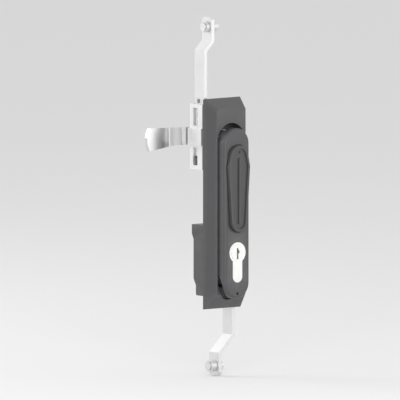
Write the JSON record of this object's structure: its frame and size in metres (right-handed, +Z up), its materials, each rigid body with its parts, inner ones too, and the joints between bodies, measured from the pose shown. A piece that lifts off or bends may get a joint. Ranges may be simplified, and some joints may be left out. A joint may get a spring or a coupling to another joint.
{
  "type": "swing handle lock",
  "caption": "Swing handle lock with a profile cylinder, a cranked tongue and a rack gear that draws two flat rods with rollers.",
  "frame": {"origin": "on the spindle axis, on the plane where the housing lies on the door", "axes": "+Z up along the lock, +Y into the cabinet, the handle faces -Y"},
  "size_m": [0.0779, 0.052, 0.2943],
  "materials": {
    "black_coat": "satin powder coat",
    "black_plastic": "fine matt",
    "seal": "matt",
    "zinc_steel": "zinc plated",
    "polished_steel": "polished",
    "nickel": "satin nickel",
    "bush_brass": "machined",
    "roller_plastic": "fine matt"
  },
  "bodies": {
    "frame": {"housing": "black_coat", "gasket": "seal", "cylinder_box": "black_plastic", "pivot_boss": "black_coat", "spindle_bush": "bush_brass", "bracket_pillars": "zinc_steel", "gear_bracket": "zinc_steel", "bearing_saddle": "zinc_steel", "bracket_screws": "zinc_steel"},
    "handle": {"handle": "black_coat", "grip_panel": "black_plastic", "pivot_pin": "zinc_steel", "cylinder_body": "nickel"},
    "key": {"key_plug": "nickel", "cylinder_cam": "zinc_steel"},
    "spindle": {"spindle": "zinc_steel", "pinion": "zinc_steel", "tongue": "polished_steel", "tongue_washer": "zinc_steel", "tongue_screw": "zinc_steel"},
    "upper_rod": {"upper_rod": "zinc_steel", "upper_axle": "zinc_steel"},
    "lower_rod": {"lower_rod": "zinc_steel", "lower_axle": "zinc_steel"},
    "upper_left_roller": {"upper_left_roller": "roller_plastic"},
    "upper_right_roller": {"upper_right_roller": "roller_plastic"},
    "lower_left_roller": {"lower_left_roller": "roller_plastic"},
    "lower_right_roller": {"lower_right_roller": "roller_plastic"}
  },
  "joints": [
    {"name": "handle_lift", "type": "hinge", "parent": "frame", "child": "handle", "pos_m": [0, -0.0085, 0], "axis": [-1, 0, 0], "range_deg": [0, 30]},
    {"name": "key_turn", "type": "hinge", "parent": "handle", "child": "key", "pos_m": [0, -0.01, -0.094], "axis": [0, -1, 0], "range_deg": [0, 90]},
    {"name": "spindle_turn", "type": "hinge", "parent": "frame", "child": "spindle", "pos_m": [0, 0.01, 0], "axis": [0, -1, 0], "range_deg": [0, 90]},
    {"name": "upper_slide", "type": "slide", "parent": "frame", "child": "upper_rod", "axis": [0, 0, -1], "range_m": [0, 0.0234]},
    {"name": "lower_slide", "type": "slide", "parent": "frame", "child": "lower_rod", "axis": [0, 0, 1], "range_m": [0, 0.0234]},
    {"name": "upper_left_spin", "type": "hinge", "parent": "upper_rod", "child": "upper_left_roller", "pos_m": [0, 0.0087, 0.0897], "axis": [1, 0, 0], "continuous": true},
    {"name": "upper_right_spin", "type": "hinge", "parent": "upper_rod", "child": "upper_right_roller", "pos_m": [0, 0.0087, 0.0897], "axis": [1, 0, 0], "continuous": true},
    {"name": "lower_left_spin", "type": "hinge", "parent": "lower_rod", "child": "lower_left_roller", "pos_m": [0, 0.0087, -0.1886], "axis": [1, 0, 0], "continuous": true},
    {"name": "lower_right_spin", "type": "hinge", "parent": "lower_rod", "child": "lower_right_roller", "pos_m": [0, 0.0087, -0.1886], "axis": [1, 0, 0], "continuous": true}
  ],
  "couplings": [
    {"joint": "upper_slide", "follows": "spindle_turn", "m_per_rad": 0.0149},
    {"joint": "lower_slide", "follows": "spindle_turn", "m_per_rad": 0.0149}
  ]
}
